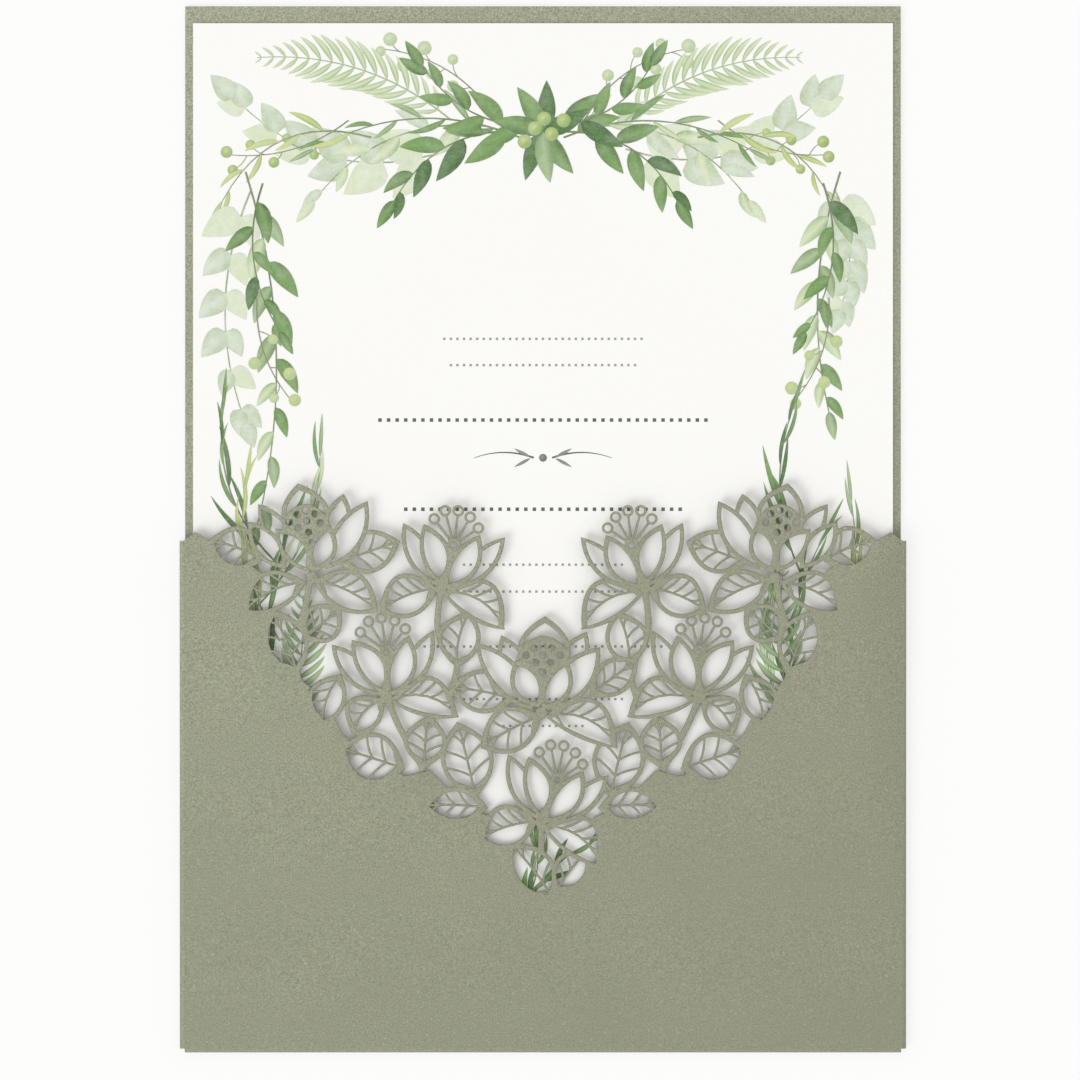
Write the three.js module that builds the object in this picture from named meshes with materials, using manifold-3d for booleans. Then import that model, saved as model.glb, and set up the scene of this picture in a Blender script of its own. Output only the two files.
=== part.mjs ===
// Pocket fold invitation, lying on its back.
// X runs across the page, Y up the page and Z through the paper, in millimetres.
// The origin is the middle of the lowest face.

import * as THREE from 'three';
import { mergeVertices } from 'three/addons/utils/BufferGeometryUtils.js';
import Module from 'manifold-3d';

const wasm = await Module();
wasm.setup();

// The folder, one sheet of card
const folderHeight = 183;
const pocketWidth = 127;
const backSideGap = 0.9;
const sheetThickness = 0.3;
const shoulderHeight = 91;
const shoulderDrop = 1.5;
const shoulderRun = 2.75;
const mouthLift = 1;
const frontClearance = 0.45;
const sideFoldRadius = 0.75;
const flapWidth = 15;
const flapTaper = 6;

// The card in the pocket
const cardSideMargin = 1.4;
const cardTopMargin = 3;
const cardThickness = 0.4;
const cardFoldGap = 1.3;

// The tape that holds each flap behind the back panel
const tapeWidth = 9;
const tapeThickness = 0.15;
const tapeFromFold = 3;
const tapeEndMargin = 9;

// The cut lines of the lace
const petalLineWidth = 0.85;
const stemLineWidth = 1.15;
const veinLineWidth = 0.45;
const stamenRingRadius = 1.02;
const stamenHoleRadius = 0.56;
const stamenDotRadius = 1.25;
const flowerBaseRadius = 1.1;
const seedHoleRadius = 0.52;

// Where the side veins of a leaf start along its midrib, and how far they slope, as shares
const firstVeinShare = 0.16;
const veinSpreadShare = 0.42;
const veinSlopeShare = 0.2;

// The lace is drawn on a grid that is stretched to the pocket
const gridColumns = 127;
const gridRows = 91;
const cellWidth = pocketWidth / gridColumns;
const cellHeight = shoulderHeight / gridRows;
const petalLine = petalLineWidth / cellWidth;
const stemLine = stemLineWidth / cellWidth;
const veinLine = veinLineWidth / cellWidth;

// How finely curves are divided
const petalParts = 4;
const midribParts = 2;
const arcParts = 5;
const ringParts = 7;
const holeParts = 5;
const laceTolerance = 0.06;
const fineTolerance = 0.001;
const snapStep = 0.0005;
const touchingGap = 0.02;
const bridgeRadius = 0.22;
const bridgePasses = 2;

// Heights of the layers, from the flaps up
const flapTop = sheetThickness;
const tapeTop = flapTop + tapeThickness;
const backTop = tapeTop + sheetThickness;
const cardTop = backTop + cardThickness;
const frontBottom = cardTop + frontClearance;
const frontTop = frontBottom + sheetThickness;

// The bottom fold is half a tube between the back panel and the front panel
const bottomFoldRadius = (frontTop - tapeTop) / 2;
const foldLineY = bottomFoldRadius;
const pocketHalf = pocketWidth / 2;
const backWidth = pocketWidth - 2 * backSideGap;
const frontFlatHalf = pocketHalf - sideFoldRadius;
const sideTopY = shoulderHeight - shoulderDrop;

// Leaves of the left half: base x, base y, tip x, tip y, left bulge, right bulge,
// left side veins, right side veins, in grid cells from the middle of the bottom fold
const pairedLeaves = [
  [-49.1, 85.8, -58.5, 89.4, 3.0, 4.6, 2, 2],
  [-41.4, 82.3, -52.4, 76.9, 2.3, 4.8, 1, 3],
  [-40.0, 82.6, -28.8, 77.2, 4.6, 2.7, 3, 1],
  [-35.8, 85.6, -25.0, 89.4, 3.9, 3.7, 2, 2],
  [-41.8, 72.2, -35.3, 77.9, 3.5, 3.5, 2, 2],
  [-42.8, 66.0, -47.3, 77.4, 3.5, 4.1, 2, 2],
  [-35.3, 66.2, -38.6, 57.1, 2.5, 4.2, 1, 2],
  [-27.8, 61.8, -33.2, 55.4, 2.1, 4.6, 1, 2],
  [-26.7, 61.7, -14.8, 58.7, 5.8, 1.4, 3, 0],
  [-20.6, 49.8, -19.9, 58.9, 4.1, 3.5, 2, 2],
  [-24.1, 49.6, -35.6, 53.3, 4.4, 4.6, 2, 2],
  [-15.0, 67.3, -12.8, 77.2, 4.6, 3.0, 2, 1],
  [-11.8, 44.5, -15.0, 57.8, 4.4, 4.8, 2, 2],
  [-9.6, 42.8, -21.0, 43.2, 2.8, 3.5, 2, 2],
];

// Leaves that have no mirrored partner, round the two middle flowers
const middleLeaves = [
  [1.9, 26.6, -5.8, 36.6, 3.2, 4.2, 1, 2],
  [2.1, 28.0, 7.9, 35.5, 3.4, 2.8, 2, 1],
  [-4.9, 61.7, -16.4, 63.8, 3.4, 4.3, 2, 2],
  [8.2, 62.5, 16.6, 68.7, 3.3, 3.1, 2, 2],
  [-0.3, 58.9, -10.8, 53.3, 3.6, 4.5, 2, 2],
  [0.4, 58.9, 13.0, 53.3, 6.2, 1.2, 3, 1],
];

// Stems of the left half, as lists of points
const pairedStems = [
  [[-40.7, 82.6], [-41.4, 78.3], [-42.8, 73.2], [-42.9, 66.0], [-40.9, 63.4]],
  [[-17.8, 81.0], [-18.4, 74.2], [-16.4, 69.4], [-15.0, 67.3], [-17.0, 60.0]],
  [[-27.1, 61.7], [-25.5, 57.8], [-23.6, 54.2], [-20.8, 49.4]],
];

const middleStems = [
  [[-0.3, 40.4], [-0.2, 34.1], [0.6, 31.5]],
];

// The edge between the plain panel and the lace, from the left shoulder to the middle
const panelEdge = [
  [-58.5, 89.6],
  [-52.9, 86.5],
  [-49.1, 83.9],
  [-49.1, 79.1],
  [-47.3, 77.2],
  [-45.4, 70.4],
  [-42.8, 65.5],
  [-40.9, 63.4],
  [-37.6, 60.8],
  [-34.9, 55.6],
  [-29.9, 51.2],
  [-24.1, 48.4],
  [-19.7, 49.4],
  [-17.3, 47.0],
  [-15.0, 44.5],
  [-15.4, 43.2],
  [-9.3, 41.4],
  [-7.0, 39.3],
  [-5.6, 36.7],
  [-2.8, 31.1],
];
const panelEdgeMiddle = [0.9, 28.2];

// A flower with a fan of stamens: petals and leaves in its own frame, back to front
const fanLeaves = [
  [-0.7, 0.0, -10.7, -4.0, 3.1, 4.7, 1, 3],
  [0.3, -0.7, 11.0, -7.2, 5.9, 1.5, 3, 0],
];
const fanOuterPetals = [
  [-0.5, 0.3, -6.6, 11.4, 2.5, 2.1],
  [1.4, -0.2, 11.2, 8.9, 1.8, 2.8],
];
const fanInnerPetals = [
  [0.0, 0.5, -3.0, 11.2, 2.0, 3.2],
  [0.7, -0.2, 6.8, 9.3, 2.1, 3.0],
];
const stamenRings = [[-1.2, 12.1], [0.7, 13.5], [3.0, 13.5], [5.1, 12.4], [6.5, 10.5]];
const stamenDot = [2.3, 7.5];

// A flower with a domed seed head, as it stands in the middle and, leaning, at the sides
const middleDomeRearPetals = [
  [-2.1, 2.6, -7.0, 13.6, 2.6, 2.6],
  [2.4, 3.5, 8.0, 14.2, 2.6, 2.6],
  [-1.4, 0.5, -11.4, 12.2, 2.6, 3.0],
  [1.0, 0.5, 10.3, 11.5, 3.0, 3.2],
];
const middleDomeArch = [0.3, 5.2, 0.7, 16.9, 4.6, 4.6];
const middleDomeFrontPetals = [
  [-0.3, 0.9, -4.5, 9.3, 2.9, 2.5],
  [0.2, 0.5, 4.7, 9.1, 2.0, 2.9],
];
const middleSeedHead = [
  [0.3, 0.8],
  [-4.2, 9.6],
  [-3.6, 11.4],
  [-1.6, 12.9],
  [0.4, 13.5],
  [2.4, 12.9],
  [4.3, 11.4],
  [4.8, 9.6],
];
const middleSeedHoles = [
  [0.3, 12.1],
  [-1.2, 11.4],
  [1.9, 11.4],
  [-2.6, 10.1],
  [3.3, 10.1],
  [0.3, 10.1],
  [-0.9, 8.9],
  [1.6, 8.9],
  [0.3, 7.2],
];
const middleDome = {
  rearPetals: middleDomeRearPetals,
  arch: middleDomeArch,
  frontPetals: middleDomeFrontPetals,
  seedHead: middleSeedHead,
  seedHoles: middleSeedHoles,
};
const leaningDome = {
  rearPetals: [
    [-3.1, 2.2, -9.3, 12.9, 1.9, 2.8],
    [3.0, 5.0, 5.6, 14.7, 2.2, 2.6],
    [-4.5, 1.6, -11.0, 9.8, 2.5, 2.4],
    [2.5, 1.5, 9.8, 13.4, 2.5, 3.0],
  ],
  arch: [-0.5, 5.5, -2.4, 16.5, 3.8, 4.6],
  frontPetals: [
    [-0.3, 1.0, -6.3, 8.6, 1.9, 2.8],
    [0.3, 1.0, 3.3, 9.2, 2.1, 2.6],
  ],
  seedHead: [
    [0.2, 0.8],
    [-5.0, 8.2],
    [-4.9, 10.4],
    [-2.8, 12.4],
    [-0.6, 12.9],
    [1.4, 12.0],
    [2.9, 10.4],
    [3.2, 8.4],
  ],
  seedHoles: [
    [-3.9, 9.7],
    [-2.5, 11.1],
    [-2.3, 8.8],
    [-0.8, 10.0],
    [-1.0, 11.8],
    [0.6, 11.2],
    [1.5, 9.7],
    [-0.5, 8.0],
    [0.1, 6.2],
  ],
};

// Where the flowers stand: x, y and turn in degrees
const pairedDomes = [[-40.4, 83.0, 0]];
const pairedFansWithLeaves = [[-17.8, 81.2, 0]];
const pairedFans = [[-27.4, 62.2, 16]];
const middleDomes = [[-0.3, 59.4, 0]];
const middleFansWithLeaves = [[-0.3, 40.4, -4]];

// Turns a closed geometry into a solid for joining and cutting, with its points on a fine grid,
// so that faces of neighbours that should meet do
function solidOf(geometry) {
  const bare = geometry.clone();
  bare.deleteAttribute('normal');
  bare.deleteAttribute('uv');
  const merged = mergeVertices(bare, snapStep / 2);
  const snapped = merged.attributes.position.array.map((value) => Math.round(value / snapStep) * snapStep);
  return new wasm.Manifold(new wasm.Mesh({
    numProp: 3,
    vertProperties: new Float32Array(snapped),
    triVerts: new Uint32Array(merged.index.array),
  }));
}

// Turns a solid back into a geometry
function geometryOf(solid) {
  const mesh = solid.getMesh();
  const geometry = new THREE.BufferGeometry();
  geometry.setAttribute('position', new THREE.BufferAttribute(new Float32Array(mesh.vertProperties), 3));
  geometry.setIndex(new THREE.BufferAttribute(new Uint32Array(mesh.triVerts), 1));
  return geometry;
}

function join(solids) {
  return wasm.Manifold.union(solids);
}

// A flat plate with the outline of the points, from one height to another
function plate(points, bottom, top) {
  const shape = new THREE.Shape(points);
  const geometry = new THREE.ExtrudeGeometry(shape, { depth: top - bottom, bevelEnabled: false });
  geometry.translate(0, 0, bottom);
  return solidOf(geometry);
}

// A plate of the front panel, drawn in grid cells
function lacePlate(points) {
  const sized = points.map((point) => new THREE.Vector2(point.x * cellWidth, point.y * cellHeight));
  return plate(sized, frontBottom, frontTop);
}

// A point of a motif, turned and moved to its place, and mirrored for the right half
function placed(place, x, y) {
  const point = new THREE.Vector2(x, y);
  point.rotateAround(new THREE.Vector2(0, 0), THREE.MathUtils.degToRad(place.turn));
  point.x = (point.x + place.x) * place.side;
  point.y += place.y;
  return point;
}

// The points of a curve from a base to a tip that bows out to its left by the bulge
function bowedPoints(base, tip, bulge, parts) {
  const along = tip.clone().sub(base);
  const reach = bulge * 4 / 3;
  const out = new THREE.Vector2(-along.y, along.x).normalize().multiplyScalar(reach);
  const near = base.clone().addScaledVector(along, 0.3).add(out);
  const far = base.clone().addScaledVector(along, 0.7).add(out);
  return new THREE.CubicBezierCurve(base, near, far, tip).getPoints(parts);
}

// The outline of a petal or leaf, drawn inwards by the inset
function lensPoints([baseX, baseY, tipX, tipY, left, right], inset = 0) {
  const base = new THREE.Vector2(baseX, baseY);
  const tip = new THREE.Vector2(tipX, tipY);
  const step = tip.clone().sub(base).normalize().multiplyScalar(inset * 1.5);
  base.add(step);
  tip.sub(step);
  const leftSide = bowedPoints(base, tip, left - inset, petalParts);
  const rightSide = bowedPoints(base, tip, inset - right, petalParts);
  return [...leftSide, ...rightSide.reverse().slice(1, -1)];
}

// The outline of a stroke of even width along the points
function strokePoints(points, width) {
  const left = [];
  const right = [];
  points.forEach((point, index) => {
    const before = points[Math.max(index - 1, 0)];
    const after = points[Math.min(index + 1, points.length - 1)];
    const along = after.clone().sub(before).normalize();
    const out = new THREE.Vector2(-along.y, along.x).multiplyScalar(width / 2);
    left.push(point.clone().add(out));
    right.unshift(point.clone().sub(out));
  });
  return [...left, ...right];
}

function circlePoints(x, y, radius, parts) {
  const points = [];
  for (let index = 0; index < parts; index += 1) {
    const angle = 2 * Math.PI * (index + 0.5) / parts;
    points.push(new THREE.Vector2(x + radius * Math.cos(angle), y + radius * Math.sin(angle)));
  }
  return points;
}

// Puts points of a motif in place and makes a plate of them
function motifPlate(points, place) {
  return lacePlate(points.map((point) => placed(place, point.x, point.y)));
}

// Veins of a leaf: a midrib, and side veins that slope towards the tip
function leafVeins(leaf, place) {
  const [baseX, baseY, tipX, tipY, left, right, leftVeins, rightVeins] = leaf;
  const base = new THREE.Vector2(baseX, baseY);
  const tip = new THREE.Vector2(tipX, tipY);
  const middle = bowedPoints(base, tip, (left - right) / 2, midribParts);
  const veins = [motifPlate(strokePoints(middle, veinLine), place)];
  const sides = [[leftVeins, left - petalLine / 2], [rightVeins, petalLine / 2 - right]];
  sides.forEach(([count, bulge]) => {
    const rim = new THREE.SplineCurve(bowedPoints(base, tip, bulge, petalParts));
    const rib = new THREE.SplineCurve(middle);
    for (let index = 0; index < count; index += 1) {
      const start = firstVeinShare + veinSpreadShare * index / Math.max(count - 1, 1);
      const ends = [rib.getPoint(start), rim.getPoint(start + veinSlopeShare)];
      veins.push(motifPlate(strokePoints(ends, veinLine), place));
    }
  });
  return veins;
}

// Lays a petal or leaf over the lace: what it covers goes, its outline stays, and what lies
// behind runs in under the middle of that outline
function layLens(lace, lens, place, veins = []) {
  const silhouette = motifPlate(lensPoints(lens), place);
  const opening = motifPlate(lensPoints(lens, petalLine), place);
  const cover = motifPlate(lensPoints(lens, petalLine / 2), place);
  const rim = silhouette.subtract(opening);
  return join([lace.subtract(cover), rim, ...veins]);
}

function layLeaf(lace, leaf, place) {
  return layLens(lace, leaf, place, leafVeins(leaf, place));
}

function layStem(lace, points, place) {
  const line = new THREE.SplineCurve(points.map(([x, y]) => new THREE.Vector2(x, y)));
  const stem = strokePoints(line.getPoints(2 * (points.length - 1)), stemLine);
  return lace.add(motifPlate(stem, place));
}

// The solid wedge between the inner petals, up to a dot
function laySpike(lace, place) {
  const half = stamenDotRadius / cellWidth;
  const [dotX, dotY] = stamenDot;
  const wedge = [[0, 0], [dotX + 1.6 * half, dotY - half], [dotX + half, dotY],
    [dotX - half, dotY], [dotX - 1.8 * half, dotY - half]];
  const outline = wedge.map(([x, y]) => new THREE.Vector2(x, y));
  return lace.add(motifPlate(outline, place));
}

// Stamens: lines that fan out from a pierced dot to small rings
function layStamens(lace, place) {
  const dot = new THREE.Vector2(...stamenDot);
  const ringRadius = stamenRingRadius / cellWidth;
  const holeRadius = stamenHoleRadius / cellWidth;
  const solids = [motifPlate(circlePoints(dot.x, dot.y, stamenDotRadius / cellWidth, 8), place)];
  const holes = [motifPlate(circlePoints(dot.x, dot.y, holeRadius, holeParts), place)];
  stamenRings.forEach(([x, y]) => {
    const ring = new THREE.Vector2(x, y);
    const end = ring.clone().lerp(dot, 0.75 * ringRadius / ring.distanceTo(dot));
    solids.push(motifPlate(strokePoints([dot, end], veinLine), place));
    solids.push(motifPlate(circlePoints(x, y, ringRadius, ringParts), place));
    holes.push(motifPlate(circlePoints(x, y, holeRadius, holeParts), place));
  });
  return join([lace, ...solids]).subtract(join(holes));
}

// A small solid disc where the petals, leaves and stem of a flower meet
function layBase(lace, place) {
  return lace.add(motifPlate(circlePoints(0, 0, flowerBaseRadius / cellWidth, 8), place));
}

function layFanFlower(lace, place, leaves) {
  let result = lace;
  leaves.forEach((leaf) => {
    result = layLeaf(result, leaf, place);
  });
  fanOuterPetals.forEach((petal) => {
    result = layLens(result, petal, place);
  });
  result = laySpike(result, place);
  fanInnerPetals.forEach((petal) => {
    result = layLens(result, petal, place);
  });
  return layBase(layStamens(result, place), place);
}

function layDomeFlower(lace, place, dome) {
  let result = lace;
  dome.rearPetals.forEach((petal) => {
    result = layLens(result, petal, place);
  });
  result = layLens(result, dome.arch, place);
  const head = dome.seedHead.map(([x, y]) => new THREE.Vector2(x, y));
  result = result.add(motifPlate(head, place));
  const holeRadius = seedHoleRadius / cellWidth;
  const holes = dome.seedHoles.map(([x, y]) => motifPlate(circlePoints(x, y, holeRadius, holeParts), place));
  result = result.subtract(join(holes));
  dome.frontPetals.forEach((petal) => {
    result = layLens(result, petal, place);
  });
  return layBase(result, place);
}

// Where two corners of the lace only touch, joins them with a small bridge of card,
// because a cutter leaves such a point joined
function bridgeTouchingCorners(lace) {
  const { vertProperties } = lace.getMesh();
  const seen = new Set();
  const bridges = [];
  for (let index = 0; index < vertProperties.length; index += 3) {
    const point = vertProperties.slice(index, index + 3);
    const key = [...point].map((value) => Math.round(value / touchingGap)).join(' ');
    if (seen.has(key)) {
      const [x, y] = point;
      bridges.push(plate(circlePoints(x, y, bridgeRadius, ringParts), frontBottom, frontTop));
    }
    seen.add(key);
  }
  return join([lace, ...bridges]).asOriginal().simplify(laceTolerance);
}

// The places of a motif: where it stands, and mirrored for a pair
function placesOf([x, y, turn], paired) {
  const sides = paired ? [1, -1] : [1];
  return sides.map((side) => ({ x, y, turn, side }));
}

// The plain panel below and beside the lace
function plainPanel() {
  const left = [
    [-frontFlatHalf, foldLineY],
    [-frontFlatHalf, sideTopY],
    [-pocketHalf + shoulderRun, shoulderHeight],
  ].map(([x, y]) => new THREE.Vector2(x, y));
  const edge = panelEdge.map(([x, y]) => new THREE.Vector2(x * cellWidth, y * cellHeight));
  const leftHalf = [...left, ...edge];
  const rightHalf = leftHalf.map((point) => new THREE.Vector2(-point.x, point.y)).reverse();
  const [middleX, middleY] = panelEdgeMiddle;
  const middle = new THREE.Vector2(middleX * cellWidth, middleY * cellHeight);
  return plate([...leftHalf, middle, ...rightHalf], frontBottom, frontTop);
}

// The front panel with its lace
function lacePanel() {
  const page = { x: 0, y: 0, turn: 0, side: 1 };
  const pair = placesOf([0, 0, 0], true);
  let lace = plainPanel();
  pairedStems.forEach((stem) => pair.forEach((place) => {
    lace = layStem(lace, stem, place);
  }));
  middleStems.forEach((stem) => {
    lace = layStem(lace, stem, page);
  });
  pairedLeaves.forEach((leaf) => pair.forEach((place) => {
    lace = layLeaf(lace, leaf, place);
  }));
  middleLeaves.forEach((leaf) => {
    lace = layLeaf(lace, leaf, page);
  });
  const fans = [
    ...pairedFansWithLeaves.flatMap((flower) => placesOf(flower, true)),
    ...middleFansWithLeaves.flatMap((flower) => placesOf(flower, false)),
  ];
  fans.forEach((place) => {
    lace = layFanFlower(lace, place, fanLeaves);
  });
  pairedFans.flatMap((flower) => placesOf(flower, true)).forEach((place) => {
    lace = layFanFlower(lace, place, []);
  });
  pairedDomes.flatMap((flower) => placesOf(flower, true)).forEach((place) => {
    lace = layDomeFlower(lace, place, leaningDome);
  });
  middleDomes.flatMap((flower) => placesOf(flower, false)).forEach((place) => {
    lace = layDomeFlower(lace, place, middleDome);
  });
  lace = lace.asOriginal().simplify(laceTolerance);
  for (let pass = 0; pass < bridgePasses; pass += 1) {
    lace = bridgeTouchingCorners(lace);
  }
  return lace;
}

// Points along an arc, both ends included, with angles in quarter turns
function arcPoints(centreX, centreY, radius, from, to) {
  const parts = Math.round(arcParts * Math.abs(to - from));
  const points = [];
  for (let index = 0; index <= parts; index += 1) {
    const angle = Math.PI / 2 * (from + (to - from) * index / parts);
    points.push(new THREE.Vector2(centreX + radius * Math.cos(angle), centreY + radius * Math.sin(angle)));
  }
  return points;
}

// The section of a side fold and its flap, from the front panel's edge round to the flap's end
function sideFoldSection() {
  const inner = sideFoldRadius - sheetThickness;
  const flapEnd = pocketHalf - flapWidth;
  const upper = frontTop - sideFoldRadius;
  return new THREE.Shape([
    ...arcPoints(frontFlatHalf, upper, sideFoldRadius, 1, 0),
    ...arcPoints(frontFlatHalf, sideFoldRadius, sideFoldRadius, 0, -1),
    new THREE.Vector2(flapEnd, 0),
    new THREE.Vector2(flapEnd, flapTop),
    ...arcPoints(frontFlatHalf, sideFoldRadius, inner, -1, 0),
    ...arcPoints(frontFlatHalf, upper, inner, 0, 1),
  ]);
}

// A side fold and its flap, cut at a slant at both ends of the flap
function sideFold(side) {
  const length = sideTopY - foldLineY;
  const geometry = new THREE.ExtrudeGeometry(sideFoldSection(), { depth: length, bevelEnabled: false });
  geometry.rotateX(Math.PI / 2);
  geometry.translate(0, sideTopY, 0);
  let fold = solidOf(geometry);
  const innerX = pocketHalf - flapWidth - sheetThickness;
  const outerX = frontFlatHalf - sideFoldRadius;
  const ends = [
    { y: foldLineY, outwards: -flapTaper, inwards: flapTaper },
    { y: sideTopY, outwards: flapTaper, inwards: -flapTaper },
  ];
  ends.forEach(({ y, outwards, inwards }) => {
    const corner = [
      new THREE.Vector2(innerX, y + outwards),
      new THREE.Vector2(outerX, y + outwards),
      new THREE.Vector2(outerX, y),
      new THREE.Vector2(innerX, y + inwards),
    ];
    fold = fold.subtract(plate(corner, -sheetThickness, backTop));
  });
  return side < 0 ? fold.mirror([1, 0, 0]) : fold;
}

// The back panel and the half tube of the bottom fold, as one bent strip
function backWithFold() {
  const centre = tapeTop + bottomFoldRadius;
  const inner = bottomFoldRadius - sheetThickness;
  const strip = new THREE.Shape([
    new THREE.Vector2(folderHeight, tapeTop),
    ...arcPoints(foldLineY, centre, bottomFoldRadius, -1, -3),
    ...arcPoints(foldLineY, centre, inner, -3, -1),
    new THREE.Vector2(folderHeight, backTop),
  ]);
  const geometry = new THREE.ExtrudeGeometry(strip, { depth: backWidth, bevelEnabled: false });
  geometry.applyMatrix4(new THREE.Matrix4().set(
    0, 0, 1, -backWidth / 2,
    1, 0, 0, 0,
    0, 1, 0, 0,
    0, 0, 0, 1,
  ));
  return solidOf(geometry);
}

// Lifts the front of the pocket evenly from the bottom fold to the mouth, which opens it
function openMouth(solid) {
  const geometry = geometryOf(solid.asOriginal().simplify(fineTolerance));
  const position = geometry.attributes.position;
  const middle = (backTop + frontBottom) / 2;
  const slope = mouthLift / (sideTopY - foldLineY);
  for (let index = 0; index < position.count; index += 1) {
    const y = position.getY(index);
    const z = position.getZ(index);
    if (z > middle && y > foldLineY) {
      position.setZ(index, z + slope * (y - foldLineY));
    }
  }
  return geometry;
}

function insertCard() {
  const bottomY = foldLineY + cardFoldGap;
  const cardWidth = backWidth - 2 * cardSideMargin;
  const cardHeight = folderHeight - cardTopMargin - bottomY;
  const geometry = new THREE.BoxGeometry(cardWidth, cardHeight, cardThickness);
  geometry.translate(0, bottomY + cardHeight / 2, backTop + cardThickness / 2);
  return geometry;
}

function flapTape(side) {
  const bottomY = foldLineY + tapeEndMargin;
  const length = sideTopY - tapeEndMargin - bottomY;
  const geometry = new THREE.BoxGeometry(tapeWidth, length, tapeThickness);
  const middleX = backWidth / 2 - tapeFromFold - tapeWidth / 2;
  geometry.translate(side * middleX, bottomY + length / 2, flapTop + tapeThickness / 2);
  return geometry;
}

const sageCard = new THREE.MeshStandardMaterial({ color: 0x989b80, roughness: 0.45, metalness: 0.25 });
const whiteCard = new THREE.MeshStandardMaterial({ color: 0xf8f8f4, roughness: 0.7, metalness: 0 });
const clearTape = new THREE.MeshStandardMaterial({ color: 0xe8e4d8, roughness: 0.35, metalness: 0 });

const invitation = new THREE.Group();

function addPiece(name, geometry, material) {
  const mesh = new THREE.Mesh(geometry, material);
  mesh.name = name;
  mesh.position.y = -folderHeight / 2;
  invitation.add(mesh);
}

// One sheet of card makes the folder: its panels and flaps meet face to face along the folds
addPiece('front_panel', openMouth(lacePanel()), sageCard);
addPiece('back_panel', openMouth(backWithFold()), sageCard);
addPiece('left_side_flap', openMouth(sideFold(-1)), sageCard);
addPiece('right_side_flap', openMouth(sideFold(1)), sageCard);
addPiece('insert_card', insertCard(), whiteCard);
addPiece('left_flap_tape', flapTape(-1), clearTape);
addPiece('right_flap_tape', flapTape(1), clearTape);

export default invitation;
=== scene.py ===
import math
import random

import bpy
import numpy as np
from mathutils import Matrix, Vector
from mathutils.geometry import delaunay_2d_cdt


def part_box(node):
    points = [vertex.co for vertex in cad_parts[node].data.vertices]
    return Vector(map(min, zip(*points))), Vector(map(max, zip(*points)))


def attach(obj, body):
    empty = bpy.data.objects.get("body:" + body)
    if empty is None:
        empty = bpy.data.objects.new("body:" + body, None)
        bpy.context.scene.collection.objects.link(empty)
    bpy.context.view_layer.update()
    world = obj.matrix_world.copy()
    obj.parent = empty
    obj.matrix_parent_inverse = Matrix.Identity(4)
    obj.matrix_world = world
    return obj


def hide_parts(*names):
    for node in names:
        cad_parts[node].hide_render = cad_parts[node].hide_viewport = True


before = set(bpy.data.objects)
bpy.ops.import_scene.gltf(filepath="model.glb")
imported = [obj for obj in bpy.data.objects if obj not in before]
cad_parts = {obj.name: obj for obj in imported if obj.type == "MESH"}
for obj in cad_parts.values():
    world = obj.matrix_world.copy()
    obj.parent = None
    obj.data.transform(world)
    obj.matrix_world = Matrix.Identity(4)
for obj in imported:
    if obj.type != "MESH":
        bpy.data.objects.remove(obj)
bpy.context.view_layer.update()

MM = 0.001
PAGE_MIDDLE = 91.5          # millimetres from the bottom fold to the frame's origin
FRAME_WIDTH = 188.7         # millimetres of the page that the photograph spans
VIEW_CENTRE = (-0.52, -1.88)
CAMERA_HEIGHT = 0.9         # metres above the folder's face
FACE_LEVEL = 2              # millimetres above the floor
SENSOR_WIDTH = 36.0

FOLD_X = 62.75              # where the front panel meets the side folds
FOLD_Y = 0.725              # where the front panel meets the bottom fold
SIDE_TOP = 89.5
SHOULDER = (60.75, 91.0)
FRONT_LEVEL = 1.3           # above this height a fold joins the front panel
FRONT_TOP = 1.9             # the front panel's face at the bottom fold
SHEET = 0.3
MOUTH_SLOPE = 1.0 / (SIDE_TOP - FOLD_Y)
CUT_WIDTH = 0.1             # the darker line along each cut, as wide as its bevel
CUT_DROP = 0.035
BLUNT = 0.6                 # a cut corner sharper than this has no bevel
TOUCH = 0.001               # places closer than this are the same
MERGE = 1e-4
SMOOTH_ANGLE = math.radians(35)

CARD_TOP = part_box("insert_card")[1].z / MM
PRINT_LIFT = 0.012
LAYER_STEP = 0.0015


def linear(red, green, blue):
    """A colour given as 0 to 255, as the linear values that a shader takes."""
    channels = []
    for value in (red, green, blue):
        share = value / 255
        channels.append(share / 12.92 if share <= 0.04045 else ((share + 0.055) / 1.055) ** 2.4)
    return (*channels, 1.0)


# Materials

def new_material(name, roughness, metallic=0.0):
    material = bpy.data.materials.new(name)
    material.use_nodes = True
    shader = material.node_tree.nodes["Principled BSDF"]
    shader.inputs["Roughness"].default_value = roughness
    shader.inputs["Metallic"].default_value = metallic
    return material, material.node_tree, shader


def place_coordinates(tree):
    return tree.nodes.new("ShaderNodeTexCoord").outputs["Object"]


def noise(tree, scale, detail=2.0, roughness=0.5):
    node = tree.nodes.new("ShaderNodeTexNoise")
    node.inputs["Scale"].default_value = scale
    node.inputs["Detail"].default_value = detail
    node.inputs["Roughness"].default_value = roughness
    tree.links.new(place_coordinates(tree), node.inputs["Vector"])
    return node.outputs["Fac"]


def remap(tree, value, low, high, to_low, to_high):
    node = tree.nodes.new("ShaderNodeMapRange")
    for name, number in (("From Min", low), ("From Max", high), ("To Min", to_low), ("To Max", to_high)):
        node.inputs[name].default_value = number
    tree.links.new(value, node.inputs["Value"])
    return node.outputs["Result"]


MIX_INPUTS = (0, 6, 7)      # the factor and the two colours of a colour mix
MIX_RESULT = 2


def mix(tree, factor, first, second):
    node = tree.nodes.new("ShaderNodeMix")
    node.data_type = "RGBA"
    sockets = [node.inputs[index] for index in MIX_INPUTS]
    for socket, value in zip(sockets, (factor, first, second)):
        if isinstance(value, bpy.types.NodeSocket):
            tree.links.new(value, socket)
        else:
            socket.default_value = value
    return node.outputs[MIX_RESULT]


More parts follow.
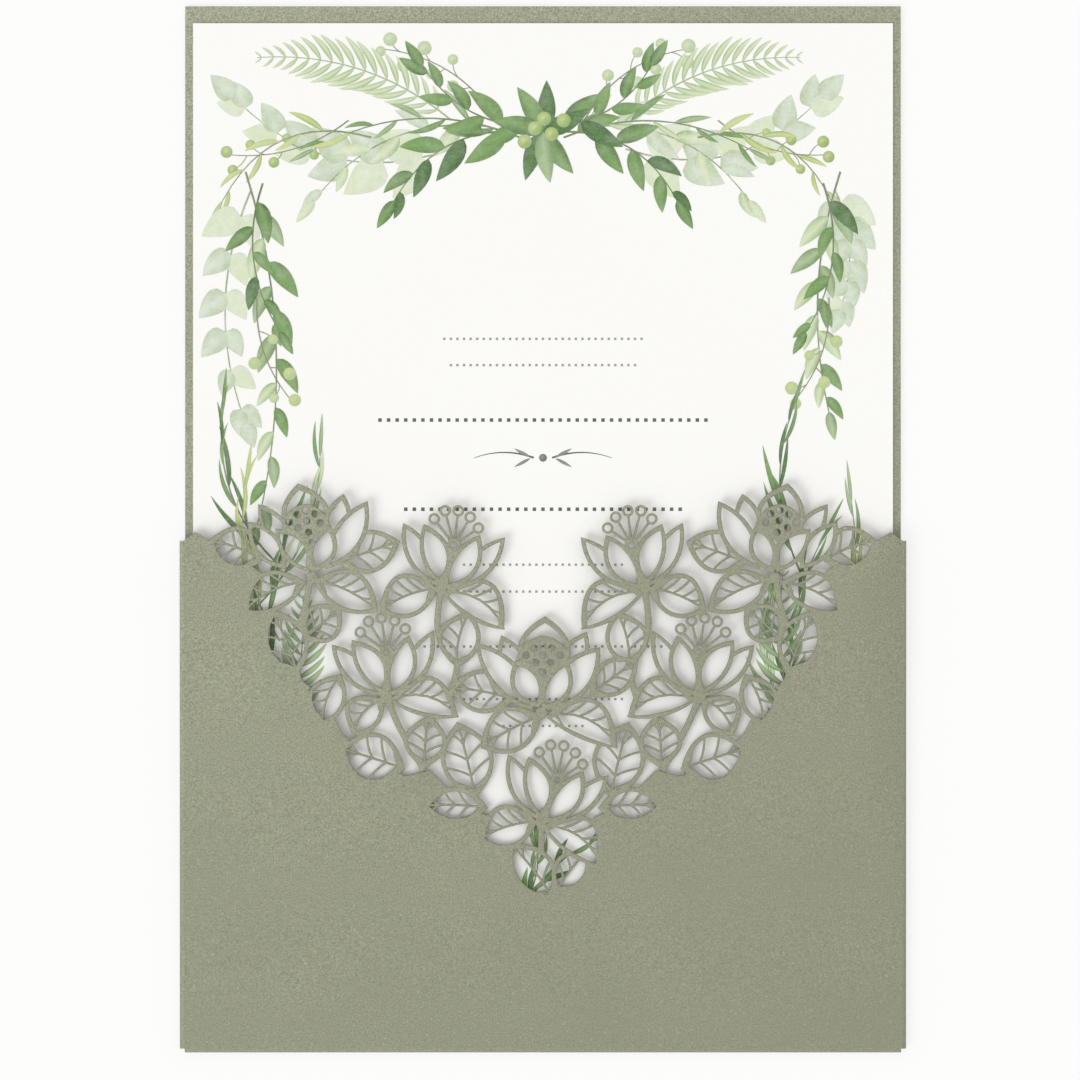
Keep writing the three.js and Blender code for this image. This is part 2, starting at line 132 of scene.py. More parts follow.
def bump(tree, shader, height, strength, distance):
    node = tree.nodes.new("ShaderNodeBump")
    node.inputs["Strength"].default_value = strength
    node.inputs["Distance"].default_value = distance
    tree.links.new(height, node.inputs["Height"])
    tree.links.new(node.outputs["Normal"], shader.inputs["Normal"])


CARD_FIBRES = 2600          # scales of noise, in cells to a metre
CARD_CLOUD = 30
INK_POOLS = 420
INK_GRAINS = 2400
TAPE_STREAKS = 700
PEARL_GRAIN = 3600
PEARL_FIBRES = 1100
PEARL_CLOUD = 45
PEARL_GLINT_CELLS = 3300
PEARL_DARK = linear(98, 102, 82)
PEARL_LIGHT = linear(200, 202, 176)
PEARL_FIBRE = linear(184, 186, 162)
PEARL_MOTTLE = linear(143, 146, 124)
# Colours of painted shade, towards the bottom and towards the right of the card
PEARL_FOOT_PAINTED_SHADE = linear(126, 129, 106)
PEARL_RIGHT_PAINTED_SHADE = linear(126, 128, 105)
# The colour of painted pearl glints
PEARL_PAINTED_GLINT = linear(205, 207, 186)
PEARL_CUT = linear(98, 98, 76)


def pearl_card():
    """Sage green card with fine pearl grains, mottled, darker where it is cut, with painted glints and
    painted shade towards its bottom and right.
    """
    material, tree, shader = new_material("sage_pearl_card", 0.5, 0.2)
    grain = noise(tree, PEARL_GRAIN, 3.0, 0.75)
    fibres = noise(tree, PEARL_FIBRES, 3.0, 0.6)
    cloud = noise(tree, PEARL_CLOUD, 2.0)
    colour = mix(tree, remap(tree, grain, 0.32, 0.68, 0.0, 1.0), PEARL_DARK, PEARL_LIGHT)
    colour = mix(tree, remap(tree, fibres, 0.35, 0.7, 0.0, 0.3), colour, PEARL_FIBRE)
    colour = mix(tree, remap(tree, cloud, 0.35, 0.65, 0.0, 0.25), colour, PEARL_MOTTLE)
    place = tree.nodes.new("ShaderNodeSeparateXYZ")
    tree.links.new(place_coordinates(tree), place.inputs["Vector"])
    # Painted shade: the card darkens towards its bottom and towards its right, as light falls off across it
    colour = mix(tree, remap(tree, place.outputs["Y"], -0.085, 0.085, 0.55, 0.0), colour, PEARL_FOOT_PAINTED_SHADE)
    colour = mix(tree, remap(tree, place.outputs["X"], -0.06, 0.06, 0.0, 0.25), colour, PEARL_RIGHT_PAINTED_SHADE)
    # Painted glints: scattered cells are lightened as pearl sparkle
    cells = tree.nodes.new("ShaderNodeTexVoronoi")
    cells.inputs["Scale"].default_value = PEARL_GLINT_CELLS
    tree.links.new(place_coordinates(tree), cells.inputs["Vector"])
    cell = tree.nodes.new("ShaderNodeSeparateColor")
    tree.links.new(cells.outputs["Color"], cell.inputs["Color"])
    painted_glint = remap(tree, cell.outputs["Red"], 0.965, 0.99, 0.0, 0.16)
    colour = mix(tree, painted_glint, colour, PEARL_PAINTED_GLINT)
    # Darker along each cut: down its bevel, on its sides and on the front panel's underside
    cut = tree.nodes.new("ShaderNodeAttribute")
    cut.attribute_name = "cut_edge"
    colour = mix(tree, remap(tree, cut.outputs["Fac"], 0.05, 0.5, 0.0, 0.8), colour, PEARL_CUT)
    tree.links.new(colour, shader.inputs["Base Color"])
    tree.links.new(remap(tree, grain, 0.3, 0.7, 0.58, 0.4), shader.inputs["Roughness"])
    bump(tree, shader, grain, 0.35, 0.00003)
    return material


def white_card():
    """Smooth white card with a faint grain."""
    material, tree, shader = new_material("smooth_white_card", 0.62)
    fibres = noise(tree, CARD_FIBRES, 3.0, 0.6)
    cloud = noise(tree, CARD_CLOUD, 2.0)
    colour = mix(tree, remap(tree, fibres, 0.3, 0.7, 0.0, 1.0), linear(249, 249, 247), linear(252, 252, 251))
    colour = mix(tree, remap(tree, cloud, 0.3, 0.7, 0.0, 0.3), colour, linear(250, 249, 245))
    tree.links.new(colour, shader.inputs["Base Color"])
    bump(tree, shader, fibres, 0.12, 0.00002)
    return material


def ink(name, wash):
    """Printed watercolour: the colour of each point, paler where the wash thins out."""
    material, tree, shader = new_material(name, 0.6)
    colours = tree.nodes.new("ShaderNodeVertexColor")
    colours.layer_name = "ink"
    pools = noise(tree, INK_POOLS, 4.0, 0.65)
    grains = noise(tree, INK_GRAINS, 2.0, 0.6)
    thinned = remap(tree, pools, 0.42, 0.72, 0.0, wash)
    colour = mix(tree, thinned, colours.outputs["Color"], linear(250, 250, 246))
    colour = mix(tree, remap(tree, grains, 0.4, 0.7, 0.0, wash * 0.5), colour, linear(246, 248, 240))
    tree.links.new(colour, shader.inputs["Base Color"])
    bump(tree, shader, grains, 0.1, 0.00001)
    return material


def clear_tape():
    """Pale adhesive tape with a soft gloss and a few faint streaks."""
    material, tree, shader = new_material("adhesive_tape", 0.35)
    streaks = noise(tree, TAPE_STREAKS, 2.0)
    streaked = remap(tree, streaks, 0.35, 0.65, 0.0, 1.0)
    colour = mix(tree, streaked, linear(222, 217, 203), linear(236, 233, 222))
    tree.links.new(colour, shader.inputs["Base Color"])
    bump(tree, shader, streaks, 0.2, 0.00003)
    return material


def dress(obj, material):
    obj.data.materials.clear()
    obj.data.materials.append(material)


# The front panel, cut finer than the solid, from the same motifs in page millimetres

PETAL_LINE = 0.78
STEM_LINE = 1.1
VEIN_LINE = 0.4
SEED_HOLE = 0.58
TIP_INSET = 1.5             # a petal's opening ends this many line widths short of its tips
HEART = 1.1                 # radius of the button that a flower's petals meet in
STAMEN_HEAD = 1.25
STAMEN_FOOT = (2.0, 2.25)   # how far the bundle of stamens reaches right and left of its head
HEAD_HOLE = 0.5
RING = 1.02
RING_HOLE = 0.6
RING_JOIN = 0.76            # a stamen ends this far from the middle of its ring
VEIN_START = 0.1            # shares of the midrib: the first side vein, the stretch that they cover
VEIN_SPREAD = 0.6
VEIN_SLOPE = 0.17           # how much further along its leaf a side vein ends than it starts
VEIN_BOW = 0.22
EXTRA_VEINS = 2             # side veins more than the solid has, where it has more than one
HANDLES = (0.3, 0.7)        # where along its way the two handles of a curve stand
SIDE_PARTS = 12             # steps of each curve
MIDRIB_PARTS = 6
VEIN_PARTS = 4
STEM_PARTS = 5
HEAD_PARTS = 3
HOLE_PARTS = 12
HEART_PARTS = 14
RING_PARTS = 16
# A petal is its base, its tip and how far its left and right sides bulge. A leaf also has its side veins.
PAIRED_LEAVES = (
    (-49.1, 85.8, -58.5, 89.4, 3.0, 4.6, 2, 2), (-41.4, 82.3, -52.4, 76.9, 2.3, 4.8, 1, 3),
    (-40.0, 82.6, -28.8, 77.2, 4.6, 2.7, 3, 1), (-35.8, 85.6, -25.0, 89.4, 3.9, 3.7, 2, 2),
    (-41.8, 72.2, -35.3, 77.9, 3.5, 3.5, 2, 2), (-42.8, 66.0, -47.3, 77.4, 3.5, 4.1, 2, 2),
    (-35.3, 66.2, -38.6, 57.1, 2.5, 4.2, 1, 2), (-27.8, 61.8, -33.2, 55.4, 2.1, 4.6, 1, 2),
    (-26.7, 61.7, -14.8, 58.7, 5.8, 1.4, 3, 0), (-20.6, 49.8, -19.9, 58.9, 4.1, 3.5, 2, 2),
    (-24.1, 49.6, -35.6, 53.3, 4.4, 4.6, 2, 2), (-15.0, 67.3, -12.8, 77.2, 4.6, 3.0, 2, 1),
    (-11.8, 44.5, -15.0, 57.8, 4.4, 4.8, 2, 2), (-9.6, 42.8, -21.0, 43.2, 2.8, 3.5, 2, 2),
)
MIDDLE_LEAVES = (
    (1.9, 26.6, -5.8, 36.6, 3.2, 4.2, 1, 2), (2.1, 28.0, 7.9, 35.5, 3.4, 2.8, 2, 1),
    (-4.9, 61.7, -16.4, 63.8, 3.4, 4.3, 2, 2), (8.2, 62.5, 16.6, 68.7, 3.3, 3.1, 2, 2),
    (-0.3, 58.9, -10.8, 53.3, 3.6, 4.5, 2, 2), (0.4, 58.9, 13.0, 53.3, 6.2, 1.2, 3, 1),
)
PAIRED_STEMS = (
    ((-40.7, 82.6), (-41.4, 78.3), (-42.8, 73.2), (-42.9, 66.0), (-40.9, 63.4)),
    ((-17.8, 81.0), (-18.4, 74.2), (-16.4, 69.4), (-15.0, 67.3), (-17.0, 60.0)),
    ((-27.1, 61.7), (-25.5, 57.8), (-23.6, 54.2), (-20.8, 49.4)),
)
MIDDLE_STEM = ((-0.3, 40.4), (-0.2, 34.1), (0.6, 31.5))
PANEL_EDGE = (
    (-58.5, 89.6), (-52.9, 86.5), (-49.1, 83.9), (-49.1, 79.1), (-47.3, 77.2), (-45.4, 70.4), (-42.8, 65.5),
    (-40.9, 63.4), (-37.6, 60.8), (-34.9, 55.6), (-29.9, 51.2), (-24.1, 48.4), (-19.7, 49.4), (-17.3, 47.0),
    (-15.0, 44.5), (-15.4, 43.2), (-9.3, 41.4), (-7.0, 39.3), (-5.6, 36.7), (-2.8, 31.1),
)
PANEL_EDGE_MIDDLE = (0.9, 28.2)
FAN_LEAVES = ((-0.7, 0.0, -10.7, -4.0, 3.1, 4.7, 1, 3), (0.3, -0.7, 11.0, -7.2, 5.9, 1.5, 3, 0))
FAN_OUTER = ((-0.5, 0.3, -6.6, 11.4, 2.5, 2.1), (1.4, -0.2, 11.2, 8.9, 1.8, 2.8))
FAN_INNER = ((0.0, 0.5, -3.0, 11.2, 2.0, 3.2), (0.7, -0.2, 6.8, 9.3, 2.1, 3.0))
STAMEN_RINGS = ((-1.2, 12.1), (0.7, 13.5), (3.0, 13.5), (5.1, 12.4), (6.5, 10.5))
STAMEN_DOT = (2.3, 7.5)
MIDDLE_DOME = {
    "petals": (
        (-2.1, 2.6, -7.0, 13.6, 2.6, 2.6), (2.4, 3.5, 8.0, 14.2, 2.6, 2.6),
        (-1.4, 0.5, -11.4, 12.2, 2.6, 3.0), (1.0, 0.5, 10.3, 11.5, 3.0, 3.2),
        (0.3, 5.2, 0.7, 16.9, 4.6, 4.6),
    ),
    "front": ((-0.3, 0.9, -4.5, 9.3, 2.9, 2.5), (0.2, 0.5, 4.7, 9.1, 2.0, 2.9)),
    "head": (
        (0.3, 0.8), (-4.2, 9.6), (-3.6, 11.4), (-1.6, 12.9),
        (0.4, 13.5), (2.4, 12.9), (4.3, 11.4), (4.8, 9.6),
    ),
    "holes": (
        (0.3, 12.1), (-1.2, 11.4), (1.9, 11.4), (-2.6, 10.1), (3.3, 10.1),
        (0.3, 10.1), (-0.9, 8.9), (1.6, 8.9), (0.3, 7.2),
    ),
}
LEANING_DOME = {
    "petals": (
        (-3.1, 2.2, -9.3, 12.9, 1.9, 2.8), (3.0, 5.0, 5.6, 14.7, 2.2, 2.6),
        (-4.5, 1.6, -11.0, 9.8, 2.5, 2.4), (2.5, 1.5, 9.8, 13.4, 2.5, 3.0),
        (-0.5, 5.5, -2.4, 16.5, 3.8, 4.6),
    ),
    "front": ((-0.3, 1.0, -6.3, 8.6, 1.9, 2.8), (0.3, 1.0, 3.3, 9.2, 2.1, 2.6)),
    "head": (
        (0.2, 0.8), (-5.0, 8.2), (-4.9, 10.4), (-2.8, 12.4),
        (-0.6, 12.9), (1.4, 12.0), (2.9, 10.4), (3.2, 8.4),
    ),
    "holes": (
        (-3.9, 9.7), (-2.5, 11.1), (-2.3, 8.8), (-0.8, 10.0), (-1.0, 11.8),
        (0.6, 11.2), (1.5, 9.7), (-0.5, 8.0), (0.1, 6.2),
    ),
}
PAGE = (0.0, 0.0, 0.0, 1)


def both_sides(x, y, turn):
    return (x, y, turn, 1), (x, y, turn, -1)


def in_place(points, place):
    """Points of a motif, turned and moved to their place, and mirrored for the right half."""
    x, y, turn, side = place
    c, s = math.cos(math.radians(turn)), math.sin(math.radians(turn))
    return np.array([((px * c - py * s + x) * side, px * s + py * c + y) for px, py in points])


def bezier(base, tip, bulge, share):
    """A point of the curve from a base to a tip that bows out to its left by the bulge."""
    base, tip = np.array(base), np.array(tip)
    way = tip - base
    # The middle of a cubic curve lies at 3/4 of the height of its handles
    out = np.array((-way[1], way[0])) / np.hypot(*way) * bulge * 4 / 3
    near, far = (base + handle * way + out for handle in HANDLES)
    rest = 1 - share
    return (rest ** 3 * base + 3 * rest * rest * share * near
            + 3 * rest * share * share * far + share ** 3 * tip)


def bowed(base, tip, bulge, parts=SIDE_PARTS):
    return [bezier(base, tip, bulge, index / parts) for index in range(parts + 1)]


def spline(points, parts):
    """A smooth curve through the points."""
    points = [np.array(point) for point in points]
    last = len(points) - 1
    made = []
    for index in range(last * parts + 1):
        at = min(index // parts, last - 1)
        t = index / parts - at
        before, first = points[max(at - 1, 0)], points[at]
        second, after = points[at + 1], points[min(at + 2, last)]
        start, end = (second - before) / 2, (after - first) / 2
        made.append((2 * t ** 3 - 3 * t ** 2 + 1) * first + (t ** 3 - 2 * t ** 2 + t) * start
                    + (3 * t ** 2 - 2 * t ** 3) * second + (t ** 3 - t ** 2) * end)
    return made


def stroke(points, width):
    left, right = [], []
    for index, point in enumerate(points):
        way = points[min(index + 1, len(points) - 1)] - points[max(index - 1, 0)]
        out = np.array((-way[1], way[0])) / (np.hypot(*way) or 1.0) * width / 2
        left.append(point + out)
        right.insert(0, point - out)
    return left + right


def circle(x, y, radius, parts):
    turns = [2 * math.pi * (index + 0.5) / parts for index in range(parts)]
    return [(x + radius * math.cos(turn), y + radius * math.sin(turn)) for turn in turns]


def lens_outline(lens, inset=0.0):
    base, tip = np.array(lens[0:2]), np.array(lens[2:4])
    step = (tip - base) / np.hypot(*(tip - base)) * inset * TIP_INSET
    left = bowed(base + step, tip - step, lens[4] - inset)
    right = bowed(base + step, tip - step, inset - lens[5])
    return left + right[::-1][1:-1]


class Lace:
    """The order in which the cutter's outlines are laid over each other: add, cut or both."""

    def __init__(self):
        self.steps = []

    def add(self, points, place=PAGE):
        self.steps.append((True, in_place(points, place)))

    def cut(self, points, place=PAGE):
        self.steps.append((False, in_place(points, place)))

    def petal(self, lens, place):
        self.add(lens_outline(lens), place)
        self.cut(lens_outline(lens, PETAL_LINE), place)

    def leaf(self, row, place):
        self.petal(row, place)
        base, tip, left, right = row[0:2], row[2:4], row[4], row[5]
        middle = (left - right) / 2
        self.add(stroke(bowed(base, tip, middle, MIDRIB_PARTS), VEIN_LINE), place)
        for count, bulge, side in ((row[6], left - PETAL_LINE / 2, 1), (row[7], PETAL_LINE / 2 - right, -1)):
            veins = count + EXTRA_VEINS if count > 1 else count
            for index in range(veins):
                start = VEIN_START + VEIN_SPREAD * index / max(veins - 1, 1)
                root = bezier(base, tip, middle, start)
                end = bezier(base, tip, bulge, start + VEIN_SLOPE)
                self.add(stroke(bowed(root, end, -VEIN_BOW * side, VEIN_PARTS), VEIN_LINE), place)

    def stem(self, points, place):
        self.add(stroke(spline(points, STEM_PARTS), STEM_LINE), place)

    def fan(self, place, leaves):
        for row in leaves:
            self.leaf(row, place)
        for lens in FAN_OUTER:
            self.petal(lens, place)
        x, y = STAMEN_DOT
        right, left = STAMEN_FOOT
        self.add(((0, 0), (x + right, y - STAMEN_HEAD), (x + STAMEN_HEAD, y), (x - STAMEN_HEAD, y),
                  (x - left, y - STAMEN_HEAD)), place)
        for lens in FAN_INNER:
            self.petal(lens, place)
        self.add(circle(x, y, STAMEN_HEAD, HEART_PARTS), place)
        for ring in STAMEN_RINGS:
            dot, end = np.array(STAMEN_DOT), np.array(ring)
            end = end + (dot - end) * RING_JOIN / np.hypot(*(dot - end))
            self.add(stroke([dot, end], VEIN_LINE), place)
            self.add(circle(*ring, RING, RING_PARTS), place)
        for ring in STAMEN_RINGS:
            self.cut(circle(*ring, RING_HOLE, HOLE_PARTS), place)
        self.cut(circle(x, y, HEAD_HOLE, HOLE_PARTS), place)
        self.add(circle(0, 0, HEART, HEART_PARTS), place)

    def dome(self, place, dome):
        for lens in dome["petals"]:
            self.petal(lens, place)
        head = dome["head"]
        self.add([head[0]] + spline(head[1:], HEAD_PARTS), place)
        for hole in dome["holes"]:
            self.cut(circle(*hole, SEED_HOLE, HOLE_PARTS), place)
        for lens in dome["front"]:
            self.petal(lens, place)
        self.add(circle(0, 0, HEART, HEART_PARTS), place)


def lace_steps():
    lace = Lace()
    left = [(-FOLD_X, FOLD_Y), (-FOLD_X, SIDE_TOP), (-SHOULDER[0], SHOULDER[1]), *PANEL_EDGE]
    lace.add([*left, PANEL_EDGE_MIDDLE, *[(-x, y) for x, y in reversed(left)]])
    for side in both_sides(0, 0, 0):
        for points in PAIRED_STEMS:
            lace.stem(points, side)
    lace.stem(MIDDLE_STEM, PAGE)
    for row in PAIRED_LEAVES:
        for side in both_sides(0, 0, 0):
            lace.leaf(row, side)
    for row in MIDDLE_LEAVES:
        lace.leaf(row, PAGE)
    for place in (*both_sides(-17.8, 81.2, 0), (-0.3, 40.4, -4, 1)):
        lace.fan(place, FAN_LEAVES)
    for place in both_sides(-27.4, 62.2, 16):
        lace.fan(place, ())
    for place in both_sides(-40.4, 83.0, 0):
        lace.dome(place, LEANING_DOME)
    lace.dome((-0.3, 59.4, 0, 1), MIDDLE_DOME)
    return lace.steps


def inside(points, outline):
    """Which of the points lie inside an outline."""
    result = np.zeros(len(points), bool)
    ends = np.roll(outline, -1, axis=0)
    for (ax, ay), (bx, by) in zip(outline, ends):
        if ay == by:
            continue
        crosses = (ay > points[:, 1]) != (by > points[:, 1])
        result ^= crosses & (points[:, 0] < (bx - ax) * (points[:, 1] - ay) / (by - ay) + ax)
    return result


def cut_pattern():
    """Triangles of the front panel: the outlines' own triangulation, less what is cut away."""
    steps = lace_steps()
    points, edges = [], []
    for _, outline in steps:
        first, count = len(points), len(outline)
        points.extend(Vector(point) for point in outline)
        edges.extend((first + index, first + (index + 1) % count) for index in range(count))
    made, _, faces, _, _, _ = delaunay_2d_cdt(points, edges, [], 0, MERGE)
    made = np.array([(point.x, point.y) for point in made])
    faces = np.array([face for face in faces if len(face) == 3])
    a, b, c = made[faces[:, 0]], made[faces[:, 1]], made[faces[:, 2]]
    area = (b[:, 0] - a[:, 0]) * (c[:, 1] - a[:, 1]) - (b[:, 1] - a[:, 1]) * (c[:, 0] - a[:, 0])
    faces[area < 0] = faces[area < 0][:, ::-1]
    middles = (a + b + c) / 3
    solid = np.zeros(len(faces), bool)
    for fills, outline in steps:
        low, high = outline.min(0), outline.max(0)
        near = np.nonzero(((middles >= low) & (middles <= high)).all(1))[0]
        solid[near[inside(middles[near], outline)]] = fills
    return made, faces[solid]


def front_height(y):
    return FRONT_TOP + MOUTH_SLOPE * (y - FOLD_Y)


def on_fold(a, b):
    """Whether an edge is where the panel runs on into a fold, so that it has no cut side."""
    sides = abs(a[0]) > FOLD_X - TOUCH and abs(b[0]) > FOLD_X - TOUCH
    return sides or (a[1] < FOLD_Y + TOUCH and b[1] < FOLD_Y + TOUCH)


def joins_panel(corners):
    """Whether a face is the end of a fold that the front panel runs on from."""
    high = all(z > FRONT_LEVEL for _, _, z in corners)
    side = all(abs(abs(x) - FOLD_X) < TOUCH for x, _, _ in corners)
    return high and (side or all(abs(y - FOLD_Y) < TOUCH for _, y, _ in corners))


def lace_mesh(points, faces, cut):
    """Adds the cut panel: its face, a slight bevel along each cut, its sides and its underside."""
    made, triangles = cut_pattern()
    sides = {}
    for a, b, c in triangles.tolist():
        for side in ((a, b), (b, c), (c, a)):
            sides[side] = True
    rim = [(a, b) for a, b in sides if (b, a) not in sides]
    inward = np.zeros_like(made)
    meets = np.zeros(len(made), int)
    for a, b in rim:
        if on_fold(made[a], made[b]):
            continue
        way = made[b] - made[a]
        normal = np.array((-way[1], way[0])) / (np.hypot(*way) or 1.0)
        for corner in (a, b):
            inward[corner] += normal
            meets[corner] += 1
    reach = np.hypot(inward[:, 0], inward[:, 1])
    scale = np.where((meets == 2) & (reach > BLUNT), CUT_WIDTH * 2 / np.maximum(reach, BLUNT) ** 2, 0.0)
    top = made + inward * scale[:, None]
    first = len(points)
    count = len(made)
    for ring, drop, tone in ((top, 0.0, 0.0), (made, CUT_DROP, 1.0), (made, SHEET, 1.0)):
        for x, y in ring:
            points.append((x, y, front_height(y) - drop))
            cut.append(tone)
    for a, b, c in triangles.tolist():
        faces.append((first + a, first + b, first + c))
        faces.append((first + 2 * count + c, first + 2 * count + b, first + 2 * count + a))
    for a, b in rim:
        if on_fold(made[a], made[b]):
            continue
        faces.append((first + b, first + a, first + count + a, first + count + b))
        faces.append((first + count + b, first + count + a, first + 2 * count + a, first + 2 * count + b))


def folder_piece(material):
    """The folder: the folds, flaps and back as the solid has them, and the finely cut front panel."""
    points, cut, faces = [], [], []
    for name in ("back_panel", "left_side_flap", "right_side_flap"):
        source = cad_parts[name].data
        first = len(points)
        points.extend((v.co.x / MM, v.co.y / MM + PAGE_MIDDLE, v.co.z / MM) for v in source.vertices)
        for polygon in source.polygons:
            corners = [first + corner for corner in polygon.vertices]
            if not joins_panel([points[corner] for corner in corners]):
                faces.append(tuple(corners))
    cut.extend([0.0] * len(points))
    folds = len(faces)
    lace_mesh(points, faces, cut)
    used = sorted({corner for face in faces for corner in face})
    renumber = {old: new for new, old in enumerate(used)}
    mesh = bpy.data.meshes.new("pocket_folder_fine")
    places = [(x * MM, (y - PAGE_MIDDLE) * MM, z * MM) for x, y, z in (points[old] for old in used)]
    mesh.from_pydata(places, [], [tuple(renumber[corner] for corner in face) for face in faces])
    tones = mesh.attributes.new("cut_edge", "FLOAT", "POINT")
    for index, old in enumerate(used):
        tones.data[index].value = cut[old]
    for polygon in mesh.polygons[:folds]:
        polygon.use_smooth = True
    mesh.set_sharp_from_angle(angle=SMOOTH_ANGLE)
    piece = bpy.data.objects.new("pocket_folder_fine", mesh)
    bpy.context.scene.collection.objects.link(piece)
    dress(piece, material)
    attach(piece, "root")
    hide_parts("front_panel", "back_panel", "left_side_flap", "right_side_flap")


# Printed greenery: each mark is a thin mesh on the card

class PrintLayer:
    """Collects the marks of one print, each a strip with a colour at every point."""

    laid = []

    def __init__(self, name, material):
        self.name = name
        self.material = material
        self.points = []
        self.faces = []
        self.colours = []

    def level(self, spots):
        """How many marks lie under this one: it goes on top of all those that it overlaps."""
        low, high = spots.min(0), spots.max(0)
        under = [level for a, b, level in self.laid if (a <= high).all() and (b >= low).all()]
        level = max(under, default=-1) + 1
        self.laid.append((low, high, level))
        return level

    def strip(self, rows, colours):
        """Adds rows of points that run across a mark, and the colour of each point."""
        height = CARD_TOP + PRINT_LIFT + LAYER_STEP * self.level(np.array(rows).reshape(-1, 2))
        first = len(self.points)
        width = len(rows[0])
        for row, tones in zip(rows, colours):
            for (x, y), tone in zip(row, tones):
                self.points.append((x * MM, (y - PAGE_MIDDLE) * MM, height * MM))
                self.colours.append(tone)
        for down in range(len(rows) - 1):
            for across in range(width - 1):
                corner = first + down * width + across
                self.faces.append((corner, corner + width, corner + width + 1, corner + 1))

    def finish(self):
        mesh = bpy.data.meshes.new(self.name)
        mesh.from_pydata(self.points, [], self.faces)
        layer = mesh.color_attributes.new("ink", "FLOAT_COLOR", "POINT")
        for index, tone in enumerate(self.colours):
            layer.data[index].color = tone
        mesh.validate()
        piece = bpy.data.objects.new(self.name, mesh)
        bpy.context.scene.collection.objects.link(piece)
        dress(piece, self.material)
        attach(piece, "root")


def blend_tones(first, second, share):
    return tuple(a + (b - a) * share for a, b in zip(first, second))


DEEP = linear(52, 86, 42)
FOREST = linear(84, 124, 62)
LEAF = linear(124, 162, 92)
SAGE = linear(170, 193, 146)
PALE = linear(216, 228, 190)
LIME = linear(207, 216, 142)
SILVER = linear(208, 219, 200)
BARK = linear(132, 132, 104)
INK_GREY = linear(84, 86, 82)
SOFT_GREY = linear(150, 151, 147)

LEAF_ROWS = 9
LEAF_SPOTS = (-1.0, -0.82, -0.06, 0.06, 0.82, 1.0)      # rim, blade and midrib, in half widths
LEAF_TAPER = 0.85
LEAST_HALF = 0.02           # half the width that a leaf keeps at its ends
BERRY_RINGS = (0.02, 0.55, 0.85, 1.0)
BERRY_PARTS = 14
BERRY_GLOW = 2.3            # the direction of a berry's palest side, in radians
SPRIG_STEM = (0.34, 0.16)   # widths of a stem at its foot and tip
BERRY_STEM = (0.26, 0.14)
BERRY_STALK = (0.16, 0.12)
FROND_STEM = (0.3, 0.12)
FIRST_LEAF = 0.12           # shares of a stem: its lowest leaf, and the stretch that its leaves cover
LEAF_STRETCH = 0.82
FIRST_BERRY = 0.3
BERRY_STRETCH = 0.7
TIP_SHRINK = 0.45           # how much smaller the leaves get by a sprig's tip, and how much less they spread
TIP_CLOSING = 0.25
LEAF_SIZES = (0.85, 1.12)   # ranges of the random draws: shares of the size, and degrees
LEAF_SWAY = (-9, 9)
LEAF_CURLS = (4, 22)
STALK_TURNS = (35, 60)
STALK_REACH = (2.2, 3.6)    # millimetres
LAST_STALK = 0.6
BERRY_SIZES = (0.8, 1.15)
LEAFLET_SPREAD = 58         # degrees
LEAFLET_CURL = 18
# Width as a share of the length, and a power: the lower it is, the nearer the widest place is to the base.
SHAPES = {
    "slender": (0.16, 0.9),
    "ovate": (0.36, 0.75),
    "round": (0.66, 0.62),
    "blade": (0.075, 0.8),
}


def leaf(layer, x, y, heading, length, shape, dark, light, curl=0.0):
    """A leaf from its base, along a heading in degrees, with a pale midrib and a darker rim."""
    width, fullness = SHAPES[shape]
    rows = []
    tones = []
    for index in range(LEAF_ROWS + 1):
        share = index / LEAF_ROWS
        turn = math.radians(heading + curl * share)
        px = x + length * share * math.cos(turn)
        py = y + length * share * math.sin(turn)
        half = 0.5 * width * length * math.sin(math.pi * share ** fullness) ** LEAF_TAPER + LEAST_HALF
        sx, sy = -math.sin(turn), math.cos(turn)
        rows.append([(px + sx * half * spot, py + sy * half * spot) for spot in LEAF_SPOTS])
        body = blend_tones(dark, light, 0.25 + 0.75 * share)
        shade = blend_tones(dark, light, 0.1 + 0.55 * share)
        rib = blend_tones(body, light, 0.75)
        tones.append([shade, body, rib, rib, shade, shade])
    layer.strip(rows, tones)


def line(layer, points, start_width, end_width, tone):
    """A thin stroke along points, tapering from one width to another."""
    rows = []
    last = len(points) - 1
    for index, (x, y) in enumerate(points):
        ax, ay = points[max(index - 1, 0)]
        bx, by = points[min(index + 1, last)]
        along = math.hypot(bx - ax, by - ay) or 1.0
        half = 0.5 * (start_width + (end_width - start_width) * index / last)
        ox, oy = -(by - ay) / along * half, (bx - ax) / along * half
        rows.append([(x + ox, y + oy), (x - ox, y - oy)])
    layer.strip(rows, [[tone, tone]] * len(rows))


def disc(layer, x, y, radius, dark, light):
    """A berry: rings of colour, palest up and to the left."""
    rows = []
    tones = []
    for ring in BERRY_RINGS:
        spots = []
        ring_tones = []
        for index in range(BERRY_PARTS + 1):
            angle = 2 * math.pi * index / BERRY_PARTS
            spots.append((x + radius * ring * math.cos(angle), y + radius * ring * math.sin(angle)))
            glow = 0.5 + 0.5 * math.cos(angle - BERRY_GLOW)
            ring_tones.append(blend_tones(dark, light, (1 - ring * 0.6) * (0.4 + 0.6 * glow)))
        rows.append(spots)
        tones.append(ring_tones)
    layer.strip(rows, tones)


def bow(start, end, bend, parts=12):
    """Points of a curve from start to end that bows out to its left by the bend."""
    (ax, ay), (bx, by) = start, end
    dx, dy = bx - ax, by - ay
    points = []
    for index in range(parts + 1):
        share = index / parts
        out = 4 * bend * share * (1 - share)
        points.append((ax + dx * share - dy * out, ay + dy * share + dx * out))
    return points


def along(points, share):
    """The place and heading at a share of the way along points."""
    spot = min(share, 0.999) * (len(points) - 1)
    index = int(spot)
    (ax, ay), (bx, by) = points[index], points[index + 1]
    rest = spot - index
    return ax + (bx - ax) * rest, ay + (by - ay) * rest, math.degrees(math.atan2(by - ay, bx - ax))


